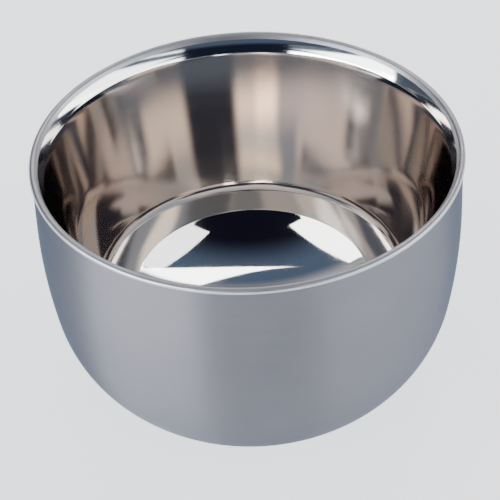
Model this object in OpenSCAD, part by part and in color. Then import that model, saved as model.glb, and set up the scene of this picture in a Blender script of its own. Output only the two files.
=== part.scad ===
/* [Size] */
// Outer diameter across the rolled rim
rim_d = 100; // [92:1:103]
// Height from the resting face to the crest of the rim
bowl_h = 61; // [60:0.5:66]
// Thickness of the sheet steel of both walls
sheet_t = 0.5; // [0.4:0.05:0.5]

/* [Rim] */
// Radius of the rolled bead along the rim
bead_r = 0.85; // [0.8:0.05:1]
// Distance by which the bead stands proud of the outer wall
bead_proud = 0.55; // [0.55:0.05:0.6]
// Distance from the outermost point of the bead in to the edge below the flared lip
lip_in = 3.5; // [3:0.1:4.5]
// Depth of that edge below the crest of the rim
lip_drop = 4.2; // [3.5:0.1:6]
// Radius of the slight outward curve of the flared lip
lip_curve_r = 26; // [20:2:60]
// Angle below horizontal at which the rolled bead ends
curl_end = 15; // [0:1:15]

/* [Outer shell] */
// Depth below the crest at which the upright wall starts to round in
wall_drop = 14; // [10:1:16]
// Radius of the first, gentle curve of the wall
belly_r = 138; // [120:1:150]
// Angle that the gentle curve turns through
belly_turn = 10.5; // [9:0.5:11]
// Radius of the second curve, towards the base
haunch_r = 34; // [32:0.5:35]
// Steepness of the wall, from upright, where the second curve ends
haunch_end = 48; // [46:1:50]
// Width of the flat ring that the bowl rests on
foot_w = 3; // [2:0.5:6]
// Height of the shallow recess inside the resting ring
recess_h = 1; // [0.6:0.1:1.6]
// Steepest angle of the wall of the recess
recess_turn = 40; // [25:5:45]
// Diameter of the vent hole in the middle of the recess
vent_d = 3; // [2:0.5:4]

/* [Inner liner] */
// Lean of the liner wall from upright, just above the corner
liner_lean = 19; // [18:0.5:21]
// Radius of the corner between the wall and the floor
corner_r = 3.4; // [2:0.2:5]
// Radius of the crease around the floor, where the corner starts
crease_radius = 35.6; // [35:0.1:36.5]
// Depth of that crease below the crest of the rim
crease_drop = 38.1; // [37.5:0.1:39.5]
// Slope of the rounded corner where it meets the crease
corner_slope = 30; // [20:1:36]
// Slope of the ledge between the crease and the dished floor
ledge_slope = 2.5; // [1:0.5:6]
// Radius at which the ledge turns down into the dished floor
dish_edge_r = 28; // [26:0.5:30]
// Slope of the dished floor at its edge
dish_slope = 16; // [12:1:20]

/* [Hidden] */

// Film of clearance between faces that are bonded or pressed together
fit_gap = 0.02;
// Largest angle between two neighbouring points of an arc
arc_step = 4;

rim_r = rim_d / 2;
bead_c = [rim_r - bead_r, bowl_h - bead_r];
wall_r = rim_r - bead_proud;
lip_edge = [rim_r - lip_in, bowl_h - lip_drop];
crease = [crease_radius, bowl_h - crease_drop];

// The flare is an arc from the lip's edge that ends tangent to the bead
flare_run = bead_c - lip_edge;
flare_sum = pow(lip_curve_r, 2) + flare_run * flare_run - pow(lip_curve_r - bead_r, 2);
flare_side = atan2(flare_run.y, flare_run.x) - acos(flare_sum / (2 * lip_curve_r * norm(flare_run)));
flare_c = lip_edge + lip_curve_r * [cos(flare_side), sin(flare_side)];
flare_start = flare_side + 180;
flare_end = atan2(bead_c.y - flare_c.y, bead_c.x - flare_c.x);

// The liner's wall is a slight arc, tangent to the corner, that ends at the lip's edge
corner_c = crease + corner_r * [-sin(corner_slope), cos(corner_slope)];
corner_top = corner_c + corner_r * [cos(liner_lean), -sin(liner_lean)];
wall_run = lip_edge - corner_top;
wall_turn = 2 * (liner_lean - atan2(wall_run.x, wall_run.y));
wall_arc_r = norm(wall_run) / (2 * sin(wall_turn / 2));
wall_arc_c = corner_top - wall_arc_r * [cos(liner_lean), -sin(liner_lean)];

// The dished floor is part of a sphere whose centre lies on the bowl's axis
dish_r = dish_edge_r / sin(dish_slope);
dish_edge = [dish_edge_r, crease.y - tan(ledge_slope) * (crease.x - dish_edge_r)];
dish_c = [0, dish_edge.y + dish_r * cos(dish_slope)];

// Centres of the outer shell's arcs, each tangent to the one above it
belly_c = [wall_r - belly_r, bowl_h - wall_drop];
haunch_c = belly_c + (belly_r - haunch_r) * [cos(belly_turn), -sin(belly_turn)];
haunch_foot = haunch_c + haunch_r * [cos(haunch_end), -sin(haunch_end)];
heel_r = haunch_foot.y / (1 - sin(haunch_end));
heel_c = haunch_c + (haunch_r - heel_r) * [cos(haunch_end), -sin(haunch_end)];

// The recess rises from the resting ring in an S of two equal arcs
recess_r = recess_h / (2 * (1 - cos(recess_turn)));
foot_in = heel_c.x - foot_w;
recess_foot_c = [foot_in, recess_r];
recess_top_c = recess_foot_c + 2 * recess_r * [-sin(recess_turn), -cos(recess_turn)];

vent_r = vent_d / 2;
plug_head_r = vent_r + 1;
plug_head_h = 0.5;
plug_bead_h = 0.3;

// Points of an arc about centre c, from angle a0 to angle a1, from point number first on
function arc(c, r, a0, a1, first = 0) =
    let (n = ceil(abs(a1 - a0) / arc_step))
    [for (i = [first : n]) let (a = a0 + (a1 - a0) * i / n) c + r * [cos(a), sin(a)]];

// Unit normal on the right-hand side of the line from a to b
function side_normal(a, b) = let (d = (b - a) / norm(b - a)) [d.y, -d.x];

// Normal of the line before point i: at the start it mirrors the first line if that starts on the axis
function normal_before(p, i) =
    i > 0 ? side_normal(p[i - 1], p[i])
    : let (n = side_normal(p[0], p[1])) [p[0].x == 0 ? -n.x : n.x, n.y];

function normal_after(p, i) =
    i < len(p) - 1 ? side_normal(p[i], p[i + 1]) : side_normal(p[i - 1], p[i]);

// The path p moved sideways by distance d, with mitred corners
function moved_path(p, d) = [
    for (i = [0 : len(p) - 1])
        let (n1 = normal_before(p, i), n2 = normal_after(p, i)) p[i] + d * (n1 + n2) / (1 + n1 * n2)];

function reversed(p) = [for (i = [len(p) - 1 : -1 : 0]) p[i]];

// Inner points of the half circle that rounds a sheet's edge, from face point a to face point b
function round_edge(a, b) =
    let (c = (a + b) / 2, r = norm(a - b) / 2, start = atan2(a.y - c.y, a.x - c.x), n = 8)
    [for (i = [1 : n - 1]) c + r * [cos(start - 180 * i / n), sin(start - 180 * i / n)]];

// A sheet turned about the axis: its inner face follows path p, its thickness lies to the right
module turned_sheet(p, round_end = false) {
    back = moved_path(p, sheet_t);
    edge = round_end ? round_edge(p[len(p) - 1], back[len(p) - 1]) : [];
    rotate_extrude($fn = 180) polygon(concat(p, edge, reversed(back)));
}

// Inner liner: dished floor, ledge, rounded corner, leaning wall, flared lip and rolled bead
liner_path = concat(
    arc(dish_c, dish_r, -90, dish_slope - 90),
    arc(corner_c, corner_r, corner_slope - 90, -liner_lean),
    arc(wall_arc_c, wall_arc_r, -liner_lean, wall_turn - liner_lean, first = 1),
    arc(flare_c, lip_curve_r, flare_start, flare_end, first = 1),
    arc(bead_c, bead_r, flare_end, -curl_end, first = 1));

// Inner face of the outer shell, from the vent hole across the base and up the wall
shell_path = concat(
    [[vent_r, recess_h + sheet_t]],
    reversed(arc(recess_top_c, recess_r + sheet_t, 90 - recess_turn, 90)),
    arc(recess_foot_c, recess_r - sheet_t, -90 - recess_turn, -90, first = 1),
    arc(heel_c, heel_r - sheet_t, -90, -haunch_end),
    arc(haunch_c, haunch_r - sheet_t, -haunch_end, -belly_turn, first = 1),
    arc(belly_c, belly_r - sheet_t, -belly_turn, 0, first = 1),
    [[wall_r - sheet_t, bead_c.y]]);

module inner_liner() {
    color([0.78, 0.75, 0.72]) turned_sheet(liner_path, round_end = true);
}

module outer_shell() {
    color([0.60, 0.61, 0.64]) turned_sheet(shell_path);
}

// Ring of filler between the back of the flared lip and the top of the outer shell
module rim_seal() {
    roof_r = bead_r - sheet_t - fit_gap;
    lip_back_r = lip_curve_r - sheet_t - fit_gap;
    shell_side_r = wall_r - sheet_t - fit_gap;
    roof_end = acos((shell_side_r - bead_c.x) / roof_r);
    seal_low = bead_c.y - 2;
    lip_back_start = 180 - asin((seal_low - flare_c.y) / lip_back_r);
    color([0.45, 0.45, 0.47])
        rotate_extrude($fn = 180)
            polygon(concat(
                arc(flare_c, lip_back_r, lip_back_start, flare_end),
                arc(bead_c, roof_r, flare_end, roof_end, first = 1),
                [[shell_side_r, seal_low]]));
}

// Drop of filler that closes the vent hole, with a low domed head inside the recess
module vent_plug() {
    stem_r = vent_r - fit_gap;
    head_top = recess_h - fit_gap;
    dome_r = (pow(plug_head_r, 2) + pow(plug_head_h, 2)) / (2 * plug_head_h);
    dome_c = [0, head_top - plug_head_h + dome_r];
    dome_half = asin(plug_head_r / dome_r);
    color([0.50, 0.50, 0.52])
        rotate_extrude($fn = 180)
            polygon(concat(
                arc(dome_c, dome_r, -90, dome_half - 90),
                [[stem_r, head_top],
                 [stem_r, recess_h + sheet_t + plug_bead_h],
                 [0, recess_h + sheet_t + plug_bead_h]]));
}

inner_liner();
outer_shell();
rim_seal();
vent_plug();
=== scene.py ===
"""Looks of a double-wall stainless steel shaving bowl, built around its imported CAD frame."""

import math

import bmesh
import bpy
from mathutils import Matrix, Vector


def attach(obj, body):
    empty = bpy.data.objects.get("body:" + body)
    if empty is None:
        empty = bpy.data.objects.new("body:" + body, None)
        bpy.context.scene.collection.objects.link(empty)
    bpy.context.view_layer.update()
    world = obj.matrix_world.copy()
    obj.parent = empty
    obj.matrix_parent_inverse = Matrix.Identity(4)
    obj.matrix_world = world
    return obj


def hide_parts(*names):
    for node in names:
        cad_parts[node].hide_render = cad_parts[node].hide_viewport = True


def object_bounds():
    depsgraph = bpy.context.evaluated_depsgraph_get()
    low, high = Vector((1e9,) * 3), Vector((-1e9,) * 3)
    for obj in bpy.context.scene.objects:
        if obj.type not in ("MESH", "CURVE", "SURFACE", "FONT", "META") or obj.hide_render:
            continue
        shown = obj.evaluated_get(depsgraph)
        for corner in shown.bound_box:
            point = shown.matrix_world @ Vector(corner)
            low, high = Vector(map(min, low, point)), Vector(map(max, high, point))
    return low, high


MM = 0.001

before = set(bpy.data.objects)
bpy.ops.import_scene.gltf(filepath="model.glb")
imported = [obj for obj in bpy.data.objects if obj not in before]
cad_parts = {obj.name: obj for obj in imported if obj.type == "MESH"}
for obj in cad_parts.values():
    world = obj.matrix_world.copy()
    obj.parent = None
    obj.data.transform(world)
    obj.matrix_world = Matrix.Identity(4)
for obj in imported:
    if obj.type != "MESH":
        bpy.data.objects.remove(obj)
cad_low, cad_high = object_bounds()
rim_r = cad_high.x / MM
crest_z = cad_high.z / MM

# ---------------------------------------------------------------- sheet profiles, in mm and degrees

# Both sheets, and the rolled bead along the rim
SHEET_T = 0.5
BEAD_R = 0.85
BEAD_PROUD = 0.55
CURL_END = -15

# Liner: flared lip, leaning wall, rounded corner, crease, flat ledge and dished floor
LIP_IN, LIP_DROP = 3.5, 4.2
LIP_CURVE_R = 26
LINER_LEAN = 19
CORNER_R, CORNER_SLOPE = 3.4, 30
CREASE_R, CREASE_DROP = 35.6, 38.1
LEDGE_SLOPE = 2.5
DISH_EDGE_R, DISH_SLOPE = 28, 16

# Shell: upright wall, belly, haunch, resting ring, recess and vent hole
WALL_DROP = 14
BELLY_R, BELLY_TURN = 138, 10.5
HAUNCH_R, HAUNCH_END = 34, 48
FOOT_W = 3
RECESS_H, RECESS_TURN = 1, 40
VENT_R = 1.5

# Radii that soften the liner's corners
DISH_ROUNDING = 3
CREASE_ROUNDING = 0.4
LIP_ROUNDING = 12

# Width of the rim's satin part, in from its outer edge
SATIN_IN = 2.0

# Spacing of the points along straight stretches, and the least spacing where two curves join
LONGEST_STEP, SHORTEST_STEP = 0.45, 0.05


def arc(centre, radius, start, end, step=3.0):
    """Points of an arc in the (radius, height) plane, from angle start to angle end in degrees."""
    count = max(2, math.ceil(abs(end - start) / step))
    angles = [math.radians(start + (end - start) * i / count) for i in range(count + 1)]
    return [(centre[0] + radius * math.cos(a), centre[1] + radius * math.sin(a)) for a in angles]


def beyond(point, distance, angle):
    """The point at that distance from another, in the direction of the angle."""
    turn = math.radians(angle)
    return point[0] + distance * math.cos(turn), point[1] + distance * math.sin(turn)


def straight(a, b):
    """Points from a to b, both included, no further apart than LONGEST_STEP."""
    count = max(1, math.ceil(math.dist(a, b) / LONGEST_STEP))
    run_x, run_z = b[0] - a[0], b[1] - a[1]
    return [(a[0] + run_x * i / count, a[1] + run_z * i / count) for i in range(count + 1)]


def rounded(corner, angle_in, angle_out, radius):
    """The arc that replaces a corner between two directions of travel, finer on a larger radius."""
    turn = angle_out - angle_in
    reach = radius * math.tan(math.radians(abs(turn) / 2))
    start = beyond(corner, -reach, angle_in)
    side = 90 if turn > 0 else -90
    centre = beyond(start, radius, angle_in + side)
    return arc(centre, radius, angle_in - side, angle_out - side, step=min(4.0, 20 / radius))


def offset(path, distance):
    """The path moved to its right-hand side, each point along its own normal."""
    moved = []
    for i, point in enumerate(path):
        a, b = path[max(i - 1, 0)], path[min(i + 1, len(path) - 1)]
        length = math.dist(a, b)
        normal = ((b[1] - a[1]) / length, (a[0] - b[0]) / length)
        if point[0] == 0:
            normal = (0.0, -1.0)
        moved.append((point[0] + distance * normal[0], point[1] + distance * normal[1]))
    return moved


def liner_profile():
    """Inner face of the liner, as named stretches from the centre of the floor to the bead's end."""
    bead = (rim_r - BEAD_R, crest_z - BEAD_R)
    lip_edge = (rim_r - LIP_IN, crest_z - LIP_DROP)
    crease = (CREASE_R, crest_z - CREASE_DROP)

    dish_r = DISH_EDGE_R / math.sin(math.radians(DISH_SLOPE))
    fall = math.tan(math.radians(LEDGE_SLOPE)) * (CREASE_R - DISH_EDGE_R)
    dish_edge = (DISH_EDGE_R, crease[1] - fall)
    dish_centre = (0, dish_edge[1] + dish_r * math.cos(math.radians(DISH_SLOPE)))
    dish = [(0.0, dish_centre[1] - dish_r)]
    dish += arc(dish_centre, dish_r, -90, DISH_SLOPE - 90, step=0.35)[1:-2]
    dish += rounded(dish_edge, DISH_SLOPE, LEDGE_SLOPE, DISH_ROUNDING)

    crease_arc = rounded(crease, LEDGE_SLOPE, CORNER_SLOPE, CREASE_ROUNDING)
    ledge = straight(dish[-1], crease_arc[0])[1:]

    corner_centre = beyond(crease, CORNER_R, CORNER_SLOPE + 90)
    corner = crease_arc + arc(corner_centre, CORNER_R, CORNER_SLOPE - 90, -LINER_LEAN, step=2.0)[1:]
    across, up = lip_edge[0] - corner[-1][0], lip_edge[1] - corner[-1][1]
    wall_turn = 2 * (LINER_LEAN - math.degrees(math.atan2(across, up)))
    wall_r = math.hypot(across, up) / (2 * math.sin(math.radians(wall_turn / 2)))
    wall_centre = beyond(corner[-1], wall_r, 180 - LINER_LEAN)
    wall_end = wall_turn - LINER_LEAN
    wall = arc(wall_centre, wall_r, -LINER_LEAN, wall_end, step=0.1)[1:]

    run_x, run_z = bead[0] - lip_edge[0], bead[1] - lip_edge[1]
    run = math.hypot(run_x, run_z)
    squares = LIP_CURVE_R**2 + run**2 - (LIP_CURVE_R - BEAD_R) ** 2
    apart = math.acos(squares / (2 * LIP_CURVE_R * run))
    flare_side = math.degrees(math.atan2(run_z, run_x) - apart)
    flare_centre = beyond(lip_edge, LIP_CURVE_R, flare_side)
    flare_end = math.degrees(math.atan2(bead[1] - flare_centre[1], bead[0] - flare_centre[0]))
    lip_arc = rounded(lip_edge, wall_end + 90, flare_side + 90, LIP_ROUNDING)
    half = len(lip_arc) // 2
    flare = arc(flare_centre, LIP_CURVE_R, flare_side + 180, flare_end, step=0.5)
    flare = lip_arc[half:] + [p for p in flare if p[1] > lip_arc[-1][1] + SHORTEST_STEP]
    satin_from = rim_r - SATIN_IN
    lip = [p for p in flare if p[0] <= satin_from]
    rim = [p for p in flare if p[0] > satin_from]
    rim += arc(bead, BEAD_R, flare_end, CURL_END, step=4.0)[1:]
    wall = [p for p in wall if p[1] < lip_arc[0][1] - SHORTEST_STEP]
    wall = ledge + corner + wall + lip_arc[:half]
    return [("dish", dish), ("wall", wall), ("lip", lip), ("rim", rim)]


def shell_profile():
    """Outer face of the shell, from the vent hole across the recess and the foot up to the rim."""
    wall_x = rim_r - BEAD_PROUD
    belly = (wall_x - BELLY_R, crest_z - WALL_DROP)
    haunch = beyond(belly, BELLY_R - HAUNCH_R, -BELLY_TURN)
    haunch_foot = beyond(haunch, HAUNCH_R, -HAUNCH_END)
    heel_r = haunch_foot[1] / (1 - math.sin(math.radians(HAUNCH_END)))
    heel = beyond(haunch, HAUNCH_R - heel_r, -HAUNCH_END)
    recess_r = RECESS_H / (2 * (1 - math.cos(math.radians(RECESS_TURN))))
    foot = (heel[0] - FOOT_W, recess_r)
    roof = beyond(foot, 2 * recess_r, -90 - RECESS_TURN)

    step_arc = arc(roof, recess_r, 90 - RECESS_TURN, 90)[::-1]
    base = straight((VENT_R, RECESS_H), step_arc[0])[:-1] + step_arc
    base += arc(foot, recess_r, -90 - RECESS_TURN, -90)[1:]
    base += straight(base[-1], (heel[0], 0.0))[1:]
    side = arc(heel, heel_r, -90, -HAUNCH_END)[1:]
    side += arc(haunch, HAUNCH_R, -HAUNCH_END, -BELLY_TURN, step=1.0)[1:]
    side += arc(belly, BELLY_R, -BELLY_TURN, 0, step=0.25)[1:]
    side += straight(side[-1], (wall_x, crest_z - BEAD_R))[1:]
    return [("base", base), ("side", side)]


def closed_sheet(stretches, thickness, round_end=False):
    """Outline of a sheet, face, edge and back in turn, and the stretch name of each of its points."""
    face = [p for _, points in stretches for p in points]
    names = [name for name, points in stretches for _ in points]
    back = offset(face, thickness)
    edge = []
    if round_end:
        tip, tip_back = face[-1], back[-1]
        middle = ((tip[0] + tip_back[0]) / 2, (tip[1] + tip_back[1]) / 2)
        start = math.degrees(math.atan2(tip[1] - middle[1], tip[0] - middle[0]))
        edge = arc(middle, abs(thickness) / 2, start, start - 180, step=22.5)[1:-1]
    return face + edge + back[::-1], names + [names[-1]] * len(edge) + ["hidden"] * len(back)


def lathe(name, outline, names, materials, segments=256):
    """Turns a closed outline about the Z axis. Each stretch of it takes the material of its name."""
    closed = outline[0][0] > 0
    angles = [2 * math.pi * j / segments for j in range(segments)]
    vertices, rings = [], []
    for radius, height in outline:
        start = len(vertices)
        if radius == 0:
            vertices.append((0, 0, height * MM))
            rings.append([start] * segments)
            continue
        reach, level = radius * MM, height * MM
        vertices += [(reach * math.cos(a), reach * math.sin(a), level) for a in angles]
        rings.append(list(range(start, start + segments)))

    slots = list(materials)
    faces, face_slots = [], []
    for i in range(len(rings) if closed else len(rings) - 1):
        low, high = rings[i], rings[(i + 1) % len(rings)]
        for j in range(segments):
            k = (j + 1) % segments
            corners = [low[j], low[k], high[k], high[j]]
            faces.append(list(dict.fromkeys(corners)))
            face_slots.append(slots.index(names[(i + 1) % len(names)]))

    mesh = bpy.data.meshes.new(name)
    mesh.from_pydata(vertices, [], faces)
    for slot in slots:
        mesh.materials.append(materials[slot])
    mesh.polygons.foreach_set("material_index", face_slots)
    mesh.polygons.foreach_set("use_smooth", [True] * len(faces))
    shape = bmesh.new()
    shape.from_mesh(mesh)
    bmesh.ops.recalc_face_normals(shape, faces=shape.faces)
    shape.to_mesh(mesh)
    shape.free()
    piece = bpy.data.objects.new(name, mesh)
    bpy.context.scene.collection.objects.link(piece)
    return piece


# ---------------------------------------------------------------- shader nodes


class Nodes:
    """Short calls that add shader nodes to one material or world and link them."""

    def __init__(self, tree):
        self.nodes, self.links = tree.nodes, tree.links

    def feed(self, socket, value):
        """Links another node's output to the socket, or sets a number or a colour on it."""
        if isinstance(value, bpy.types.NodeSocket):
            self.links.new(value, socket)
        elif isinstance(value, (int, float)):
            socket.default_value = value
        else:
            socket.default_value = (*value, 1)

    def math(self, operation, *values):
        node = self.nodes.new("ShaderNodeMath")
        node.operation = operation
        for socket, value in zip(node.inputs, values):
            self.feed(socket, value)
        return node.outputs[0]

    def vector_math(self, operation, vector):
        node = self.nodes.new("ShaderNodeVectorMath")
        node.operation = operation
        self.links.new(vector, node.inputs[0])
        return node.outputs

    def split(self, vector):
        node = self.nodes.new("ShaderNodeSeparateXYZ")
        self.links.new(vector, node.inputs[0])
        return node.outputs

    def join(self, x, y, z):
        node = self.nodes.new("ShaderNodeCombineXYZ")
        for socket, value in zip(node.inputs, (x, y, z)):
            self.feed(socket, value)
        return node.outputs[0]

    def remap(self, value, from_low, from_high, low, high):
        """Runs smoothly from low to high as the value goes from from_low to from_high."""
        node = self.nodes.new("ShaderNodeMapRange")
        node.interpolation_type = "SMOOTHSTEP"
        for socket, number in zip(node.inputs, (value, from_low, from_high, low, high)):
            self.feed(socket, number)
        return node.outputs[0]

    def mix(self, factor, a, b):
        """Colour that runs from a to b as the factor goes from 0 to 1."""
        node = self.nodes.new("ShaderNodeMix")
        node.data_type = "RGBA"
        for name, value in (("Factor", factor), ("A", a), ("B", b)):
            self.feed(node.inputs[name], value)
        return node.outputs["Result"]


# ---------------------------------------------------------------- materials


class Steel(Nodes):
    """A metal material whose pattern runs in rings about the bowl's axis."""

    def __init__(self, name, colour, roughness, anisotropy=0.0, edge_tint=(1, 1, 1)):
        self.material = bpy.data.materials.new(name)
        self.material.use_nodes = True
        super().__init__(self.material.node_tree)
        self.shader = self.nodes["Principled BSDF"]
        self.shader.inputs["Base Color"].default_value = (*colour, 1)
        self.shader.inputs["Metallic"].default_value = 1
        self.shader.inputs["Roughness"].default_value = roughness
        self.shader.inputs["Specular Tint"].default_value = (*edge_tint, 1)
        self.shader.inputs["Anisotropic"].default_value = anisotropy
        self.shader.inputs["Anisotropic Rotation"].default_value = 0.25
        if anisotropy:
            tangent = self.nodes.new("ShaderNodeTangent")
            tangent.direction_type = "RADIAL"
            tangent.axis = "Z"
            self.links.new(tangent.outputs[0], self.shader.inputs["Tangent"])
        self.place = self.nodes.new("ShaderNodeTexCoord").outputs["Object"]

    def rings(self, around, along):
        """Coordinates that change slowly around the bowl and fast along its profile, per metre."""
        x, y, z = self.split(self.place)
        flat = self.join(x, y, 0.0)
        radius = self.vector_math("LENGTH", flat)["Value"]
        heading_x, heading_y, _ = self.split(self.vector_math("NORMALIZE", flat)["Vector"])
        run = self.math("ADD", z, radius)
        return self.join(
            self.math("MULTIPLY", heading_x, around),
            self.math("MULTIPLY", heading_y, around),
            self.math("MULTIPLY", run, along),
        )

    def noise(self, vector, scale=1.0, detail=3.0):
        node = self.nodes.new("ShaderNodeTexNoise")
        node.inputs["Scale"].default_value = scale
        node.inputs["Detail"].default_value = detail
        node.inputs["Roughness"].default_value = 0.6
        self.links.new(vector, node.inputs["Vector"])
        return node.outputs["Fac"]

    def rough(self, *parts):
        """Roughness as the sum of the parts."""
        total = parts[0]
        for part in parts[1:]:
            total = self.math("ADD", total, part)
        self.links.new(total, self.shader.inputs["Roughness"])

    def tint(self, factor, low, high):
        """Colour that runs between two tints as the factor goes from 0 to 1."""
        self.links.new(self.mix(factor, low, high), self.shader.inputs["Base Color"])

    def bump(self, height, depth, strength):
        """Relief of that depth in metres; a second call adds its relief to the first."""
        node = self.nodes.new("ShaderNodeBump")
        node.inputs["Strength"].default_value = strength
        node.inputs["Distance"].default_value = depth
        self.links.new(height, node.inputs["Height"])
        normal = self.shader.inputs["Normal"]
        if normal.is_linked:
            self.links.new(normal.links[0].from_socket, node.inputs["Normal"])
        self.links.new(node.outputs[0], normal)

    def scratches(self, spacing, width):
        """1 on thin, curved scratches, 0 elsewhere: the narrow middle band of a coarse noise."""
        wave = self.noise(self.place, scale=1 / spacing, detail=0.0)
        off_middle = self.math("ABSOLUTE", self.math("SUBTRACT", wave, 0.5))
        line = self.remap(off_middle, 0.0, width, 1.0, 0.0)
        spread = self.noise(self.place, scale=0.6 / spacing, detail=1.0)
        patches = self.remap(spread, 0.52, 0.62, 0.0, 1.0)
        return self.math("MULTIPLY", line, patches)


def brushed_outside():
    colour, edge_tint = (0.19, 0.192, 0.215), (0.3, 0.36, 0.44)
    steel = Steel("shell_brushed", colour, 0.41, anisotropy=0.92, edge_tint=edge_tint)
    fine = steel.noise(steel.rings(around=6, along=5200), detail=4.0)
    broad = steel.noise(steel.rings(around=2, along=420), detail=2.0)
    cloud = steel.noise(steel.place, scale=45, detail=3.0)
    streak = steel.remap(fine, 0.3, 0.7, 0.0, 1.0)
    steel.tint(streak, (0.182, 0.184, 0.206), (0.198, 0.20, 0.223))
    steel.rough(
        steel.remap(fine, 0.25, 0.75, 0.38, 0.44),
        steel.remap(broad, 0.3, 0.7, -0.01, 0.015),
        steel.remap(cloud, 0.35, 0.7, -0.01, 0.02),
    )
    steel.bump(fine, depth=0.000008, strength=0.4)
    return steel.material


def polished_wall():
    steel = Steel("liner_wall", (0.77, 0.71, 0.66), 0.1, anisotropy=0.6)
    fine = steel.noise(steel.rings(around=3, along=3600), detail=3.0)
    broad = steel.noise(steel.rings(around=1.5, along=260), detail=2.0)
    cloud = steel.noise(steel.place, scale=40, detail=2.0)
    steel.tint(steel.remap(cloud, 0.35, 0.7, 0.0, 1.0), (0.78, 0.725, 0.68), (0.77, 0.695, 0.63))
    steel.rough(
        steel.remap(fine, 0.25, 0.75, 0.06, 0.09),
        steel.remap(broad, 0.3, 0.7, -0.01, 0.01),
    )
    steel.bump(fine, depth=0.000006, strength=0.3)
    return steel.material


def mirror_floor():
    steel = Steel("liner_dish", (0.78, 0.75, 0.73), 0.03)
    spun = steel.noise(steel.rings(around=1, along=1500), detail=2.0)
    smudge = steel.noise(steel.place, scale=90, detail=3.0)
    mark = steel.scratches(spacing=0.02, width=0.003)
    steel.tint(steel.remap(smudge, 0.4, 0.75, 0.0, 1.0), (0.79, 0.765, 0.745), (0.75, 0.72, 0.70))
    steel.rough(
        steel.remap(smudge, 0.4, 0.8, 0.022, 0.05),
        steel.remap(spun, 0.3, 0.8, 0.0, 0.012),
        steel.remap(mark, 0.0, 1.0, 0.0, 0.03),
    )
    steel.bump(spun, depth=0.000003, strength=0.2)
    return steel.material


def mirror_lip():
    steel = Steel("liner_lip", (0.78, 0.78, 0.79), 0.06)
    spun = steel.noise(steel.rings(around=2, along=2200), detail=2.0)
    steel.rough(steel.remap(spun, 0.3, 0.75, 0.05, 0.085))
    steel.tint(steel.remap(spun, 0.2, 0.8, 0.0, 1.0), (0.76, 0.765, 0.78), (0.80, 0.80, 0.805))
    steel.bump(spun, depth=0.000004, strength=0.2)
    return steel.material


def satin_rim():
    steel = Steel("rim_satin", (0.44, 0.45, 0.485), 0.4)
    fine = steel.noise(steel.rings(around=8, along=6000), detail=3.0)
    worn = steel.noise(steel.place, scale=140, detail=4.0)
    steel.tint(steel.remap(worn, 0.4, 0.7, 0.0, 1.0), (0.42, 0.43, 0.465), (0.47, 0.48, 0.51))
    steel.rough(
        steel.remap(fine, 0.3, 0.7, 0.37, 0.43),
        steel.remap(worn, 0.45, 0.75, 0.0, -0.05),
    )
    steel.bump(fine, depth=0.000008, strength=0.4)
    return steel.material


def worn_base():
    steel = Steel("shell_base", (0.34, 0.35, 0.37), 0.42)
    spun = steel.noise(steel.rings(around=2, along=1400), detail=4.0)
    cloud = steel.noise(steel.place, scale=120, detail=4.0)
    mark = steel.scratches(spacing=0.009, width=0.012)
    steel.tint(steel.remap(mark, 0.0, 1.0, 0.0, 1.0), (0.34, 0.35, 0.37), (0.41, 0.415, 0.425))
    steel.rough(
        steel.remap(spun, 0.25, 0.75, 0.34, 0.46),
        steel.remap(cloud, 0.4, 0.7, -0.03, 0.05),
    )
    steel.bump(spun, depth=0.00002, strength=0.5)
    steel.bump(mark, depth=0.00001, strength=-0.5)
    return steel.material


def filler(name, colour):
    steel = Steel(name, colour, 0.5)
    grain = steel.noise(steel.place, scale=1800, detail=3.0)
    flow = steel.noise(steel.place, scale=500, detail=2.0)
    steel.tint(steel.remap(flow, 0.3, 0.7, 0.0, 1.0), colour, [0.8 * c for c in colour])
    steel.rough(steel.remap(grain, 0.3, 0.7, 0.4, 0.6))
    steel.bump(flow, depth=0.00008, strength=0.4)
    steel.bump(grain, depth=0.00002, strength=0.3)
    return steel.material


def pale_ground():
    ground = bpy.data.materials.new("pale_ground")
    ground.use_nodes = True
    shader = ground.node_tree.nodes["Principled BSDF"]
    shader.inputs["Roughness"].default_value = 0.7
    shader.inputs["Base Color"].default_value = (0.9, 0.9, 0.9, 1)
    shader.inputs["Emission Color"].default_value = (0.92, 0.96, 1, 1)
    shader.inputs["Emission Strength"].default_value = 1.6
    return ground


# ---------------------------------------------------------------- pieces


def make_liner():
    wall = polished_wall()
    materials = {
        "dish": mirror_floor(),
        "wall": wall,
        "lip": mirror_lip(),
        "rim": satin_rim(),
        "hidden": wall,
    }
    outline, names = closed_sheet(liner_profile(), SHEET_T, round_end=True)
    piece = lathe("liner_sheet", outline, names, materials)
    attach(piece, "root")
    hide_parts("inner_liner")


def make_shell():
    side = brushed_outside()
    materials = {"base": worn_base(), "side": side, "hidden": side}
    outline, names = closed_sheet(shell_profile(), -SHEET_T)
    piece = lathe("shell_sheet", outline, names, materials)
    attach(piece, "root")
    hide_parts("outer_shell")


def finish_fillers():
    """The seal and the plug keep their CAD shapes and take a filler metal's look."""
    looks = {
        "rim_seal": filler("seal_filler", (0.45, 0.45, 0.46)),
        "vent_plug": filler("plug_filler", (0.50, 0.50, 0.51)),
    }
    for node, material in looks.items():
        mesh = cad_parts[node].data
        mesh.materials.clear()
        mesh.materials.append(material)


# ---------------------------------------------------------------- stage, light and camera


def make_ground(half=3.0):
    mesh = bpy.data.meshes.new("ground")
    corners = [(-half, -half, 0), (half, -half, 0), (half, half, 0), (-half, half, 0)]
    mesh.from_pydata(corners, [], [(0, 1, 2, 3)])
    mesh.materials.append(pale_ground())
    ground = bpy.data.objects.new("ground", mesh)
    bpy.context.scene.collection.objects.link(ground)


# Overhead panels, in metres: the right-hand one's inner corner and the directions of its two sides
PANEL_CORNER = (0.133, 0.515, 0.99)
PANEL_ALONG = (0.384, 0.7, -0.601)
PANEL_ACROSS = (0.758, -0.61, -0.228)
PANEL_WIDTH = 0.17


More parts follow.
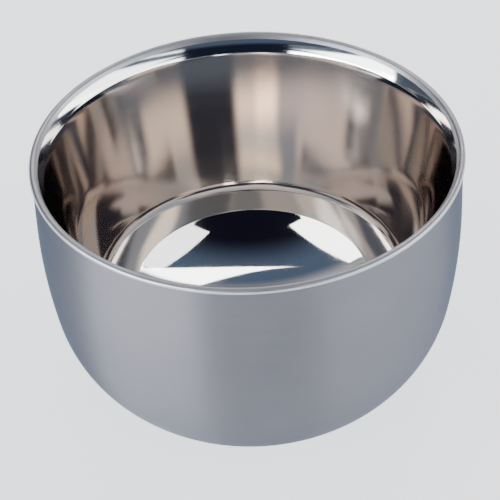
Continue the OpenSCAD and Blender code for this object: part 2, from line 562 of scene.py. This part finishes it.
def area_light(name, width, height, radiance, placement):
    light = bpy.data.lights.new(name, "AREA")
    light.shape = "RECTANGLE"
    light.size, light.size_y = width, height
    light.energy = radiance * math.pi * width * height
    holder = bpy.data.objects.new(name, light)
    holder.matrix_world = placement
    bpy.context.scene.collection.objects.link(holder)


def overhead(name, side, length, drop, radiance):
    """A panel above and behind the bowl, on its left (side -1) or on its right (side 1)."""
    corner, along, across = [
        Vector((side * x, y, z)) for x, y, z in (PANEL_CORNER, PANEL_ALONG, PANEL_ACROSS)
    ]
    corner.z -= drop
    away = across.cross(along) * side
    centre = corner + (along * length + across * PANEL_WIDTH) / 2
    axes = Matrix((along, away.cross(along), away)).transposed().to_4x4()
    area_light(name, length, PANEL_WIDTH, radiance, Matrix.Translation(centre) @ axes)


def make_lights():
    overhead("overhead_left", -1, length=0.37, drop=0.0, radiance=6.0)
    overhead("overhead_right", 1, length=0.33, drop=0.04, radiance=3.4)


# The skyline is highest at the azimuth SKYLINE_TOP, by SKYLINE_RISE degrees, and as low opposite
SKYLINE_RISE, SKYLINE_TOP = 4.4, 185

SLATE = (0.38, 0.44, 0.54)
SHADE = (0.04, 0.04, 0.06)


def grey(level):
    return (level, level, level)


class Room(Nodes):
    """The light from all around, painted in soft-edged patches; a later patch covers earlier ones.

    Azimuths and elevations are in degrees. Azimuth 0 is in front, 90 to the right, 180 behind.
    """

    def __init__(self, colour):
        world = bpy.data.worlds.new("room")
        bpy.context.scene.world = world
        world.use_nodes = True
        super().__init__(world.node_tree)
        self.background = self.nodes["Background"]
        x, y, z = self.split(self.nodes.new("ShaderNodeTexCoord").outputs["Generated"])
        forward = self.math("MULTIPLY", y, -1.0)
        self.azimuth = self.degrees(self.math("ARCTAN2", x, forward))
        self.elevation = self.degrees(self.math("ARCSINE", z))
        turn = self.math("MULTIPLY", self.azimuth, math.pi / 180)
        lean = self.math("COSINE", self.math("SUBTRACT", turn, math.radians(SKYLINE_TOP)))
        rise = self.math("MULTIPLY", lean, SKYLINE_RISE)
        self.skyline_height = self.math("SUBTRACT", self.elevation, rise)
        self.colour = colour

    def degrees(self, angle):
        return self.math("MULTIPLY", angle, 180 / math.pi)

    def off_azimuth(self, centre):
        """Azimuth measured from that centre, between -180 and 180 degrees."""
        return self.math("WRAP", self.math("SUBTRACT", self.azimuth, centre), 180.0, -180.0)

    def edge(self, value, limit, softness):
        """1 well below the limit, 0 well above it."""
        return self.remap(value, limit - softness / 2, limit + softness / 2, 1.0, 0.0)

    def band(self, value, limits, softness):
        """1 between the limits, 0 outside."""
        low, high = limits
        off_middle = self.math("ABSOLUTE", self.math("SUBTRACT", value, (low + high) / 2))
        return self.edge(off_middle, (high - low) / 2, softness)

    def paint(self, colour, mask):
        self.colour = self.mix(mask, self.colour, colour)

    def patch(self, colour, azimuths, elevations, soft, height=None):
        """Paints between two azimuths and two elevations; soft is the width of each pair's edges."""
        around = self.off_azimuth(sum(azimuths) / 2)
        half = (azimuths[1] - azimuths[0]) / 2
        across = self.band(around, (-half, half), soft[0])
        upwards = self.band(height or self.elevation, elevations, soft[1])
        self.paint(colour, self.math("MULTIPLY", across, upwards))

    def skyline_patch(self, colour, azimuths, heights, soft):
        """A patch whose lower and upper edges run along the skyline."""
        self.patch(colour, azimuths, heights, soft, height=self.skyline_height)

    def disc(self, centre, radii, softness=0.03):
        """1 inside an ellipse about a centre, given as azimuth and elevation."""
        around = self.math("DIVIDE", self.off_azimuth(centre[0]), radii[0])
        upwards = self.math("DIVIDE", self.math("SUBTRACT", self.elevation, centre[1]), radii[1])
        reach = self.math("ADD", self.math("POWER", around, 2.0), self.math("POWER", upwards, 2.0))
        return self.edge(reach, 1.0, softness)

    def finish(self, backdrop):
        """Camera rays that pass the floor see a plain backdrop."""
        seen = self.nodes.new("ShaderNodeLightPath").outputs["Is Camera Ray"]
        self.paint(backdrop, seen)
        self.links.new(self.colour, self.background.inputs["Color"])


def paint_upper_room(room):
    """Slate and grey above, with bright and dark marks at the sides and the back corners."""
    room.patch((0.84, 0.77, 0.78), azimuths=(-45, 70), elevations=(42, 60), soft=(50, 14))
    room.patch(SLATE, azimuths=(119, 142), elevations=(29, 75), soft=(8, 6))
    room.patch(SLATE, azimuths=(60, 125), elevations=(41, 75), soft=(16, 6))
    room.patch((0.34, 0.40, 0.46), azimuths=(-105, -70), elevations=(46, 75), soft=(30, 8))
    room.patch((0.16, 0.18, 0.22), azimuths=(30, 92), elevations=(70, 82), soft=(16, 3))
    room.patch((0.26, 0.30, 0.34), azimuths=(-24, 30), elevations=(74, 95), soft=(16, 3))
    room.patch((1.9, 1.8, 1.7), azimuths=(93, 116), elevations=(59.5, 68.5), soft=(8, 3))
    room.patch(grey(0.95), azimuths=(-108, -72), elevations=(69, 75), soft=(10, 3))
    room.patch((2.1, 2.2, 2.3), azimuths=(-108, -84), elevations=(63, 69.5), soft=(8, 3))
    room.patch((1.4, 1.45, 1.6), azimuths=(-118, -106), elevations=(60, 64), soft=(6, 2))
    room.patch((0.12, 0.14, 0.20), azimuths=(-148, -120), elevations=(50, 59), soft=(6, 2.5))
    room.patch((0.10, 0.12, 0.16), azimuths=(122, 142), elevations=(45, 56), soft=(6, 3))


def paint_warm_skyline(room):
    """Warm light just above the skyline, strongest behind on the right, over a cool patch there."""
    room.skyline_patch((1.40, 1.20, 1.06), azimuths=(-118, -40), heights=(23.6, 29.5), soft=(20, 3))
    room.skyline_patch((1.22, 1.10, 1.10), azimuths=(30, 118), heights=(23.6, 31.5), soft=(12, 3))
    room.skyline_patch((1.1, 1.0, 1.05), azimuths=(112, 140), heights=(23.6, 28), soft=(12, 4))
    room.patch((0.90, 0.98, 1.12), azimuths=(142, 190), elevations=(20, 40), soft=(12, 6))
    room.skyline_patch((2.7, 2.2, 1.9), azimuths=(142, 190), heights=(23.4, 27.4), soft=(12, 3))
    room.skyline_patch((5.0, 3.8, 3.0), azimuths=(146, 167), heights=(23.4, 27.4), soft=(10, 3))


def paint_back(room):
    """Thin warm and grey-blue lines, a dark wall and pale patches at the left, dark blue up high."""
    room.patch((2.8, 2.2, 1.65), azimuths=(138, 188), elevations=(35.3, 36.6), soft=(14, 0.8))
    room.patch((0.42, 0.49, 0.57), azimuths=(124, 188), elevations=(36.9, 38.1), soft=(14, 0.8))
    room.patch((2.4, 2.0, 1.55), azimuths=(138, 188), elevations=(38.3, 38.8), soft=(14, 0.6))
    room.patch((0.40, 0.48, 0.56), azimuths=(124, 188), elevations=(39.1, 41.0), soft=(14, 0.8))
    room.patch((0.04, 0.045, 0.07), azimuths=(-169, -113), elevations=(-5, 39.8), soft=(12, 2))
    room.patch((1.1, 1.02, 1.0), azimuths=(-147, -92), elevations=(40.6, 47), soft=(8, 2))
    room.patch((0.95, 0.86, 0.88), azimuths=(-116, -92), elevations=(36, 42), soft=(6, 3))
    room.patch((0.10, 0.14, 0.22), azimuths=(148, 212), elevations=(42, 95), soft=(12, 6))
    room.patch((0.008, 0.008, 0.018), azimuths=(150, 210), elevations=(54, 100), soft=(24, 12))


def paint_dark_front(room):
    """Dark shapes in front and at both sides, from the skyline up to the middle heights."""
    room.patch(SHADE, azimuths=(-50, 43), elevations=(18, 38), soft=(12, 7))
    room.patch((0.05, 0.05, 0.07), azimuths=(-88, -40), elevations=(29, 33.5), soft=(8, 2))
    room.patch(SHADE, azimuths=(-84, -24), elevations=(36.5, 46), soft=(10, 4))
    room.patch(SHADE, azimuths=(0, 54), elevations=(33, 43), soft=(8, 4))
    room.patch((0.15, 0.17, 0.24), azimuths=(45, 112), elevations=(31.5, 34.4), soft=(6, 2))


def paint_low_lights(room):
    """Strong lights low at both sides, black between them in front, and a dark blue skyline above."""
    room.patch((0.09, 0.11, 0.15), azimuths=(-116, -84), elevations=(-5, 21), soft=(4, 4))
    room.patch((25.0, 25.0, 26.0), azimuths=(-86, -25), elevations=(-5, 8), soft=(3, 4))
    room.patch(grey(7.0), azimuths=(-86, -25), elevations=(7, 18), soft=(3, 3))
    room.patch(grey(6.0), azimuths=(31, 112), elevations=(-5, 8), soft=(3, 4))
    room.patch(grey(4.5), azimuths=(31, 112), elevations=(7, 21), soft=(3, 3))
    room.paint((0.15, 0.19, 0.26), room.band(room.skyline_height, (18.4, 22.9), 1.8))
    room.patch((0.01, 0.015, 0.03), azimuths=(-26, 32), elevations=(-5, 21), soft=(6, 4))
    room.patch((0.09, 0.12, 0.18), azimuths=(-60, 60), elevations=(21, 26), soft=(12, 3))


def paint_crescent(room):
    """A bright crescent behind the bowl: the top of one disc, less another one."""
    upper = room.remap(room.elevation, 40.0, 42.0, 0.0, 1.0)
    glow = room.math("MULTIPLY", room.disc((178, 30), (27, 20)), upper)
    outside = room.math("SUBTRACT", 1.0, room.disc((184.5, 30), (20, 18.6)))
    room.paint(grey(8.0), room.math("MULTIPLY", glow, outside))


def make_room():
    room = Room((0.60, 0.60, 0.63))
    paint_upper_room(room)
    paint_warm_skyline(room)
    paint_back(room)
    paint_dark_front(room)
    paint_low_lights(room)
    paint_crescent(room)
    room.finish(backdrop=grey(2.5))


# The camera's distance and elevation are from the middle of the mouth, level with the rim's crest
CAMERA_ELEVATION, CAMERA_ROLL = 36.28, 2.745
CAMERA_DISTANCE = 0.55
CAMERA_TARGET = (-0.0003, 0, 0.0321)
SENSOR_WIDTH, LENS = 36, 172.9


def make_camera():
    elevation = math.radians(CAMERA_ELEVATION)
    back, up = CAMERA_DISTANCE * math.cos(elevation), CAMERA_DISTANCE * math.sin(elevation)
    place = Vector((0, -back, cad_high.z + up))
    data = bpy.data.cameras.new("camera")
    data.sensor_width = SENSOR_WIDTH
    data.lens = LENS
    data.clip_start = 0.01
    camera = bpy.data.objects.new("camera", data)
    turn = (place - Vector(CAMERA_TARGET)).to_track_quat("Z", "Y").to_matrix().to_4x4()
    roll = Matrix.Rotation(math.radians(-CAMERA_ROLL), 4, "Z")
    camera.matrix_world = Matrix.Translation(place) @ turn @ roll
    bpy.context.scene.collection.objects.link(camera)
    bpy.context.scene.camera = camera


make_liner()
make_shell()
finish_fillers()
make_ground()
make_lights()
make_room()
make_camera()
